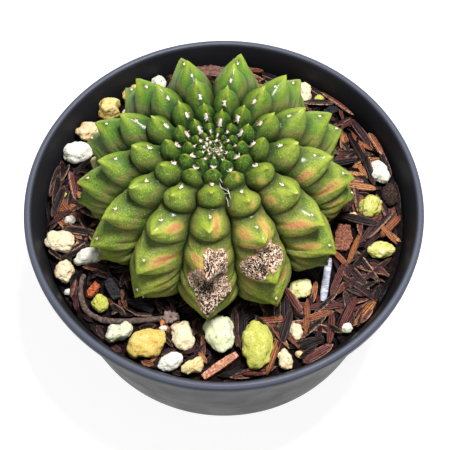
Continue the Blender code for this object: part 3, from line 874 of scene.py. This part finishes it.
def husks():
    """Hulls strewn over the mix, each laid on what lies there already."""
    draw = random.Random(4)
    cell, reach = .8, 48.0
    count = int(2 * reach / cell)
    pile = np.zeros((count, count))
    plans, route = outlines(), twig_route(4)
    shape = Shape()
    for attempt in range(HUSK_TRIES):
        a, r = draw.uniform(0, tau), sqrt(draw.uniform(*(far ** 2 for far in HUSK_FIELD)))
        x, y = r * cos(a), r * sin(a)
        turn = draw.uniform(0, pi)
        length, width = draw.uniform(*HUSK_LENGTH), draw.uniform(*HUSK_WIDTH)
        crowded = x < TINY_SIDE[0] and y < TINY_SIDE[1]
        if crowded and attempt % 4:
            length, width = length * TINY_HUSK[0], width * TINY_HUSK[1]
        elif attempt % 4 == 0:
            length, width = length * SHORT_HUSK[0], width * SHORT_HUSK[1]
        tone, open_side, arch = draw.betavariate(1.2, 1.9), draw.random() < .18, draw.uniform(-.1, .5)
        blunt = draw.uniform(1.9, 3.6)
        if open_side:
            tone = .62 + .38 * tone
        roll, glow = draw.uniform(-.6, .6), draw.uniform(0, 1) ** 1.3
        run = Vector((cos(turn), sin(turn)))
        line = [Vector((x, y)) + run * length * k / 10 for k in range(-5, 6)]
        if not is_clear(line, width, plans, route):
            continue
        places = [(int((p.x + reach) / cell), int((p.y + reach) / cell)) for p in line]
        heights = [pile[place] for place in places]
        left, right = max(heights[:5]), max(heights[6:])
        lift = max((left + right) / 2, heights[5])
        if lift > (HUSK_PILE if dist((x, y), (PLANT_X, PLANT_Y)) > LOW_PILE_ENDS else LOW_PILE):
            continue
        # Painted shade: hulls low in the pile get a darker tone and dimmer pale edges, down to .06 at the
        # bottom; those among the stones at the front left keep at least .55.
        painted_pile_light = max(.06 + .94 * min(lift / 1.3, 1) ** 1.7, .55 if crowded else 0)
        tilt = atan2(min(max(left - right, -1.2), 1.2), length)
        spin = Matrix.Rotation(turn, 4, "Z") @ Matrix.Rotation(tilt, 4, "Y") @ Matrix.Rotation(roll, 4, "X")
        move = Matrix.Translation((x, y, SOIL_LEVEL + lift + width * .20)) @ spin
        rings = husk_rings(length, width, arch, blunt, open_side)
        rings = [[move @ Vector(p) for p in ring] for ring in rings]
        ends = [move @ Vector((side * length / 2, 0, -arch)) for side in (-1, 1)]
        edge = [painted_pile_light * e for e in husk_edges(glow)]
        around = [i / HUSK_AROUND for i in range(HUSK_AROUND)] * len(rings) + [0, 0]
        close_rings(shape, rings, *ends, tone=tone * painted_pile_light, edge=edge, around=around)
        for place, height in zip(places, heights):
            pile[place] = max(height, lift + width * .42)
    item = shape.item("husks", husk_finish(), "potting_mix")
    item.data.set_sharp_from_angle(angle=radians(62))


# Pumice: finish, share of the deeper colour, depth of a waist
WHITE, CREAM, YELLOW, GREEN = "pumice_white", "pumice_cream", "pumice_yellow", "pumice_green"
STONES = (
    (WHITE, -.1, .05), (CREAM, .2, 0), (YELLOW, .2, .30), (CREAM, .0, .1), (YELLOW, .3, .1), (WHITE, .1, 0),
    (GREEN, .1, 0), (CREAM, -.1, .25), (GREEN, .4, 0), (WHITE, .0, .25), (GREEN, .3, .1), (GREEN, .22, 0),
    (CREAM, .0, .1), (WHITE, .0, .1), (CREAM, .1, 0), (GREEN, .5, 0), (WHITE, .2, .2), (YELLOW, .35, 0),
    (CREAM, .0, .1), (WHITE, .3, .05), (WHITE, .0, 0), (YELLOW, .0, .3), (GREEN, .35, 0), (GREEN, .1, .1),
    (CREAM, .1, 0), (WHITE, .1, 0), (CREAM, .2, 0), (WHITE, -.1, 0), (GREEN, .4, 0), (WHITE, .0, 0),
    (WHITE, .0, 0), (YELLOW, .2, 0), (CREAM, .1, 0))

# Their colours: crumbs, deeper patches, stains
STONE_COLORS = {
    WHITE: ((.58, .58, .52), (.42, .46, .24), (.40, .38, .26)),
    CREAM: ((.60, .52, .34), (.54, .33, .13), (.44, .28, .11)),
    YELLOW: ((.58, .46, .20), (.50, .34, .03), (.42, .22, .05)),
    GREEN: ((.60, .54, .26), (.34, .34, .012), (.24, .25, .02))}


def stone_finish(name, pale, deep, stain):
    """Porous stone: pale crumbs, a deeper colour in patches, stains, and pits darkened from the stain
    colour.
    """
    f = Finish(name, .9, .2)
    patch = f.spread(f.sum("ADD", f.noise(2.4, 5, .65), f.value("tint")), .44, .80)
    color = f.over(
        pale, (patch, deep), (f.spread(f.noise(1.1, 4, .65), .52, .66, 0, .75), stain),
        (f.spread(f.noise(.35, 4, .7), .35, .7, 0, .22), (.82, .80, .68)),
        (f.times(f.value("pit"), .75), [c * .42 for c in stain]),
        (f.spread(f.noise(.30, 2), .70, .76, 0, .6), (.16, .11, .06)))
    return f.finish(color, f.bump(f.noise(.28, 4, .7), .22))


def finer(node, cuts, soft):
    """A node's solid made finer, its corners rounded off: points, ways out, faces."""
    bm = bmesh.new()
    bm.from_mesh(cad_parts[node].data)
    bmesh.ops.remove_doubles(bm, verts=bm.verts, dist=.01 * MM)
    for _ in range(cuts):
        bmesh.ops.subdivide_edges(bm, edges=bm.edges, cuts=1, smooth=soft, use_grid_fill=True)
    bmesh.ops.triangulate(bm, faces=bm.faces)
    bm.normal_update()
    points, ways = [v.co / MM for v in bm.verts], [v.normal.copy() for v in bm.verts]
    return points, ways, faces_of(bm)


def stones():
    """The pumice: knobbly porous stones, each in place of its solid."""
    looks = {name: stone_finish(name, *colors) for name, colors in STONE_COLORS.items()}
    for index, (slot, tint, waist) in enumerate(STONES):
        node = f"pumice_{index + 1:02d}"
        low, high = (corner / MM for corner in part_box(node))
        middle, size = (low + high) / 2, high - low
        points, ways, faces = finer(node, 3 if size.x > 3 else 2, 1.0)
        reach = max(size.x, size.y)
        shift = Vector((index * 7.3, index * 3.1, 0))
        pits = []
        for n, (p, way) in enumerate(zip(points, ways)):
            q = p + shift
            lump = noise.fractal(q * (1.2 / reach ** .5), .9, 2, 2) * .10 * reach ** .7
            crumb = noise.fractal(q * 2.2, .7, 2.1, 4) * .09
            hole = max(0, noise.noise(q * 1.9 + Vector((9, 9, 9))) - .34) * .7
            pits.append(min(hole * 4 + max(0, -crumb * 1.2), 1))
            points[n] = p + way * (lump + crumb - hole)
        points = np.array(points)
        long, wide = (0, 1) if size.x > size.y else (1, 0)
        away = (points[:, long] - middle[long]) / size[long] * 2
        pinch = waist * np.exp(-(away / .35) ** 2)
        for axis, share in ((wide, 1), (2, .5)):
            points[:, axis] = middle[axis] + (points[:, axis] - middle[axis]) * (1 - share * pinch)
        points = fit_box(points, low, high)
        rise = unit((points[:, 2] - low.z) / size.z)
        shape = Shape()
        shape.add(points, faces, pit=pits, tint=tint + .25 * (.5 - rise))
        shape.item(f"stone_{index + 1:02d}", looks[slot], slot, node)


# Scabs: rib, corners by rank and place across, and dark hollows by the same two
# numbers, half length and half width
SCABS = (
    (6, ((3.80, .00), (3.82, -.25), (3.83, -.48), (4.05, -.65), (4.16, -.58), (4.44, -.50), (4.70, -.56),
         (5.20, -.66), (5.05, -.30), (5.12, -.10), (5.12, .06), (5.00, .23), (4.90, .33), (4.80, .62),
         (4.25, .33), (4.08, .16), (4.20, -.04), (3.95, .08), (3.88, .13)),
     ((4.34, -.30, .16, .20), (4.72, -.02, .16, .24))),
    (5, ((4.11, -.36), (4.40, -.66), (4.50, -.56), (4.40, -.23), (4.38, -.07), (4.33, .07), (4.44, .26),
         (4.63, .36), (4.68, .56), (4.69, .75), (4.51, .78), (4.23, .56), (4.17, .23), (4.14, -.07)),
     ((4.38, .18, .10, .12),)),
    (5, ((3.97, .18), (3.86, .02), (3.78, -.24), (4.05, -.08), (4.11, .10)), ((4.0, .0, .05, .1),)))
SCAB_RANKS = (3.3, 5.7)
SCAB_ROWS = 210
SCAB_COLUMNS = 110
AREOLE_STEP = 7.0         # millimetres along a rib for an areole
HALF_RIB = 5.0            # millimetres from its middle to a furrow
SCAB_ROOT = .30           # how deep its underside lies in the skin


def blob(rank, u, spot):
    """1 at the middle of an oval on a rib, 0 at its edge."""
    at, across_at, long, wide = spot
    return 1 - np.sqrt(((rank - at) / long) ** 2 + ((u - across_at) / wide) ** 2)


def depth_in(rank, u, outline):
    """Millimetres from an outline on a rib, more than 0 inside it."""
    x, y = rank * AREOLE_STEP, u * HALF_RIB
    corners = np.array(outline) * (AREOLE_STEP, HALF_RIB)
    near = np.full(rank.shape, 99.0)
    within = np.zeros(rank.shape, bool)
    for a, b in zip(corners, np.roll(corners, -1, 0)):
        run = b - a
        share = unit(((x - a[0]) * run[0] + (y - a[1]) * run[1]) / (run @ run))
        near = np.minimum(near, np.hypot(x - a[0] - share * run[0], y - a[1] - share * run[1]))
        crosses = (a[1] > y) != (b[1] > y)
        within ^= crosses & (x < a[0] + (y - a[1]) * run[0] / (run[1] or 1))
    return np.where(within, near, -near)


def sampled(points, scale, sample, *more):
    """Noise at each point of a sheet."""
    values = [sample(Vector(p) * scale, *more) for p in points.reshape(-1, 3)]
    return np.array(values).reshape(points.shape[:2])


def scab_finish():
    """Dry corky crust, pale ridges over dark pits and a coppery edge."""
    f = Finish("scab", .8, .25)
    cork = f.ramp(f.noise(.9, 4, .7), (.32, (.17, .085, .05)), (.48, (.50, .34, .23)),
                  (.66, (.86, .72, .58)))
    color = f.over(cork, (f.spread(f.value("pit"), .15, .60), (.016, .008, .006)),
                   (f.value("edge"), (.28, .10, .035)))
    return f.finish(color, f.bump(f.noise(.25, 4, .7), .25))


def scabs():
    """Corky crusts that follow the skin of two ribs."""
    shape = Shape()
    rows, us = np.linspace(*SCAB_RANKS, SCAB_ROWS), np.linspace(-.92, .92, SCAB_COLUMNS)
    for rib, outline, hollows in SCABS:
        sheet, rank, _, _ = rib_sheet(rib, rows - SCAB_RANKS[0] + row_of(rib, SCAB_RANKS[0]), us)
        skin = lean(sheet)
        u = us * np.ones_like(rank)
        field = depth_in(rank, u, outline) + .45 + .35 * sampled(skin, .8, noise.fractal, .8, 2, 4)
        fine = sampled(skin, 3.4, noise.noise)
        net = 1 - unit(abs(sampled(skin, 1.7, noise.noise)) * 4.5)
        ridge = np.maximum(net, .8 - np.clip(abs(fine) * 4, 0, .8))
        cleft = np.clip(np.max([blob(rank, u, spot) for spot in hollows], 0) * 1.2, 0, .5)
        pit = unit(.90 - 1.5 * ridge) + cleft * (1 - .4 * ridge)
        out = np.cross(np.gradient(skin, axis=1), np.gradient(skin, axis=0))
        out /= np.linalg.norm(out, axis=2)[..., None]
        out *= np.sign(np.sum(out * (skin - np.array(HEART)), 2))[..., None]
        rise = unit(field * 2.5)
        tall = .05 + rise * (.12 + .45 * ridge * (1 - cleft) + .10 * fine)
        edge = unit(1.2 - field / .24)
        crust(shape, skin, out, tall, field > 0, pit=unit(pit * rise), edge=edge)
    shape.item("scabs", scab_finish(), "cactus_skin")


def crust(shape, skin, out, tall, mask, **values):
    """A closed crust over the masked cells of a sheet."""
    rows, columns = mask.shape
    top, under = skin + out * tall[..., None], skin - out * SCAB_ROOT
    points = np.concatenate((top.reshape(-1, 3), under.reshape(-1, 3)))
    cells = [(r, c) for r in range(rows - 1) for c in range(columns - 1) if mask[r:r + 2, c:c + 2].all()]
    rims = {}
    faces = []
    size = rows * columns
    for r, c in cells:
        ring = [r * columns + c, r * columns + c + 1, (r + 1) * columns + c + 1, (r + 1) * columns + c]
        faces.append(ring)
        faces.append([k + size for k in reversed(ring)])
        for a, b in zip(ring, ring[1:] + ring[:1]):
            if rims.pop((b, a), None) is None:
                rims[(a, b)] = True
    faces += [[b, a, a + size, b + size] for a, b in rims]
    used = sorted({k for face in faces for k in face})
    renamed = {k: n for n, k in enumerate(used)}
    kept = {name: np.tile(v.ravel(), 2)[used] for name, v in values.items()}
    shape.add(points[used], [[renamed[k] for k in face] for face in faces], **kept)


# Threads of web: both ends by rib, rank and place across
THREADS = (((6, 1.75, -.72), (5, 2.05, .80)), ((6, 2.05, -.80), (5, 2.30, .74)),
           ((6, 2.2, -.86), (5, 2.2, .80)), ((6, 2.5, -.82), (5, 2.1, .84)), ((6, 1.9, -.80), (5, 2.5, .86)))
THREAD_RADIUS = .04
THREAD_TURNS = (0, 2.1, 4.2)
THREAD_STEPS = 8


def threads():
    """A few white threads of web across a furrow."""
    shape = Shape()
    for first, last in THREADS:
        (a, out, _, _), (b, _, _, _) = skin_spot(*first), skin_spot(*last)
        way = (b - a).normalized()
        side = way.orthogonal().normalized()
        rings = []
        for k in range(THREAD_STEPS + 1):
            share = k / THREAD_STEPS
            sag = out * .5 * sin(pi * share) + side * .15 * sin(7 * share)
            rings.append(hoop(a.lerp(b, share) + sag, way, THREAD_RADIUS, THREAD_TURNS))
        close_rings(shape, rings, a - way * .05, b + way * .05, tone=0)
    shape.item("web_threads", bpy.data.materials["wool"], "cactus_skin")


# Twig: the route of its middle line on the mix, and the bud at its end
TWIG = ((-35.4, -18.3), (-36.0, -21.2), (-35.6, -24.8), (-33.8, -28.4),
        (-30.2, -30.5), (-25.0, -31.0), (-16.4, -30.4), (-11.0, -30.0))
TWIG_RADIUS = 0.8
TWIG_SIDES = 14
BUD_PLACE = (-13.2, -30.3)
BUD_SCALES = 9

# Two orange scales beside the bud: place over the mix, size, turn, tone
LOOSE_SCALES = (((-15.0, -31.2, 1.6), (1.1, .55, .35), 1.0, 1.0),
                ((-14.2, -32.1, 1.0), (.9, .5, .35), 2.2, .95))


def twig_route(steps):
    """Points along a smooth curve through the twig's route."""
    points = [Vector(p) for p in TWIG]
    points = [2 * points[0] - points[1]] + points + [2 * points[-1] - points[-2]]
    route = []
    for a, b, c, d in zip(points, points[1:], points[2:], points[3:]):
        for k in range(steps):
            t = k / steps
            route.append(.5 * (2 * b + (c - a) * t + (2 * a - 5 * b + 4 * c - d) * t * t
                               + (3 * b - a - 3 * c + d) * t ** 3))
    return route + [points[-2]]


def twig_finish():
    """Dry brown bark with pale streaks, grey bud scales and orange ones."""
    f = Finish("twig", .75, .3)
    color = f.ramp(f.value("tone"), (0, (.020, .012, .010)), (.4, (.062, .036, .030)), (.7, (.16, .13, .12)),
                   (1, (.46, .14, .03)))
    color = f.over(color, (f.spread(f.noise(.5, 4, .7), .42, .62, 0, .4), (.20, .13, .11)))
    return f.finish(color, f.bump(f.noise(.4, 4, .7), .25))


def scale(shape, draw, place, size, turn, tone):
    """A small dry bud scale."""
    tip = Matrix.Rotation(turn, 3, "Z") @ Matrix.Rotation(draw.uniform(-.5, .5), 3, "Y")
    shift = Vector((draw.uniform(0, 50), 0, 0))

    def put_point(co):
        grown = co * (1 + .35 * noise.fractal(co * 1.6 + shift, .8, 2, 3))
        return Vector(place) + tip @ Vector([c * s for c, s in zip(grown, size)])

    ball(shape, 3, put_point, tone)


def twig():
    """The bent twig with its scaly bud."""
    shape = Shape()
    up = Vector((0, 0, 1))
    route = [Vector((*p, SOIL_LEVEL + GAP + TWIG_RADIUS)) for p in twig_route(14)]
    rings = []
    for k, middle in enumerate(route):
        way = (route[min(k + 1, len(route) - 1)] - route[max(k - 1, 0)]).normalized()
        side = way.cross(up)
        ring = []
        for turn in evenly(TWIG_SIDES):
            out = side * cos(turn) + up * sin(turn)
            knobs = 1 + .30 * noise.fractal((middle + out) * 1.1, .8, 2, 3)
            ring.append(middle + out * TWIG_RADIUS * knobs * (.80 + .2 * k / len(route)))
        rings.append(ring)
    tones = [.35 + .60 * noise.noise(Vector(p) * 1.4) for ring in rings for p in ring]
    close_rings(shape, rings, route[0], route[-1], tone=tones + [.3, .3])
    draw = random.Random(9)
    for k in range(BUD_SCALES):
        turn = 2.4 * k
        x, y = BUD_PLACE[0] + 1.1 * cos(turn), BUD_PLACE[1] + sin(turn)
        place = (x, y, SOIL_LEVEL + 2.0 + .25 * (k % 3))
        scale(shape, draw, place, (.85, .65, .40), turn, .62 + .12 * (k % 2))
    for (x, y, height), size, turn, tone in LOOSE_SCALES:
        scale(shape, draw, (x, y, SOIL_LEVEL + height), size, turn, tone)
    shape.item("twig_wood", twig_finish(), "twig", "twig")


# Bark, charcoal and straw: dark, middle and light streaks, the sides, which way
# the streaks run if they do, relief, roughness
WOODS = {
    "bark_red": ((.050, .016, .010), (.20, .070, .040), (.46, .20, .12), (.10, .030, .020), None, .5, .7),
    "bark_brown": ((.006, .004, .004), (.040, .022, .017), (.22, .12, .08), (.02, .012, .01), None, .8, .8),
    "bark_split": ((.05, .022, .018), (.15, .070, .050), (.28, .16, .12), (.08, .035, .026), 176, .4, .7),
    "charcoal": ((.003, .003, .004), (.007, .007, .01), (.03, .034, .045), (.004, .004, .005), 20, .4, .45),
    "straw": ((.10, .028, .014), (.40, .17, .10), (.74, .46, .34), (.46, .13, .04), None, .35, .5),
    "straw_grey": ((.06, .055, .07), (.26, .27, .33), (.50, .53, .62), (.18, .15, .16), 80, .10, .3),
    "bark_ember": ((.10, .020, .010), (.34, .075, .022), (.60, .22, .06), (.22, .045, .018), None, .5, .5)}

# The pieces: slot, finish, how rough their faces are broken, how round they are
CHIPS = {
    "bark_back": ("bark", "bark_split", .55, .15), "bark_right": ("bark", "bark_brown", .85, .6),
    "bark_flake": ("bark_red", "bark_red", .55, .05), "bark_chip": ("bark_red", "bark_ember", .5, .2),
    "charcoal_left": ("charcoal", "charcoal", .4, .05), "charcoal_low": ("charcoal", "charcoal", .35, .05),
    "charcoal_back": ("charcoal", "charcoal", .4, .05), "straw_stick": ("straw", "straw", .14, .08),
    "straw_blade": ("straw_grey", "straw_grey", .05, .3)}


def wood_finish(name, dark, mid, light, side, turn, relief, gloss):
    """Woody matter streaked along its length, with sides of another colour."""
    f = Finish(name, gloss, .25)
    run = f.where if turn is None else f.drawn_out(.18, turn)
    streak = f.ramp(f.noise(.55, 5, .7, run), (.32, dark), (.52, mid), (.70, light))
    speck = f.spread(f.noise(.35, 3, .6), .60, .70, 0, .7)
    flank = f.spread(f.value("top"), .35, .75, 1, 0)
    color = f.over(streak, (speck, [c * .25 for c in dark]), (flank, side))
    return f.finish(color, f.bump(f.noise(.5, 5, .75, run), relief))


def chips():
    """Bark, charcoal and straw with broken, fibrous faces."""
    finishes = {name: wood_finish(name, *look) for name, look in WOODS.items()}
    for k, (node, (slot, finish, rough, soft)) in enumerate(CHIPS.items()):
        low, high = (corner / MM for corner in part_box(node))
        points, ways, faces = finer(node, 4, soft)
        shift = Vector((k * 11.0, 5, 0))
        for n, (p, way) in enumerate(zip(points, ways)):
            q = p + shift
            step = noise.fractal(q * .55, .8, 2, 3) + .35 * round(2 * noise.noise(q * .9))
            points[n] = p + way * rough * (step * .7 + .3 * noise.noise(q * 2.2))
        shape = Shape()
        shape.add(fit_box(np.array(points), low, high), faces, top=[way.z for way in ways])
        item = shape.item(f"{node}_piece", finishes[finish], slot, node)
        if slot != "straw_grey":
            item.data.set_sharp_from_angle(angle=radians(38))


def main():
    camera()
    studio()
    pot()
    soil()
    husks()
    cactus()
    wool()
    scabs()
    threads()
    stones()
    chips()
    twig()


main()
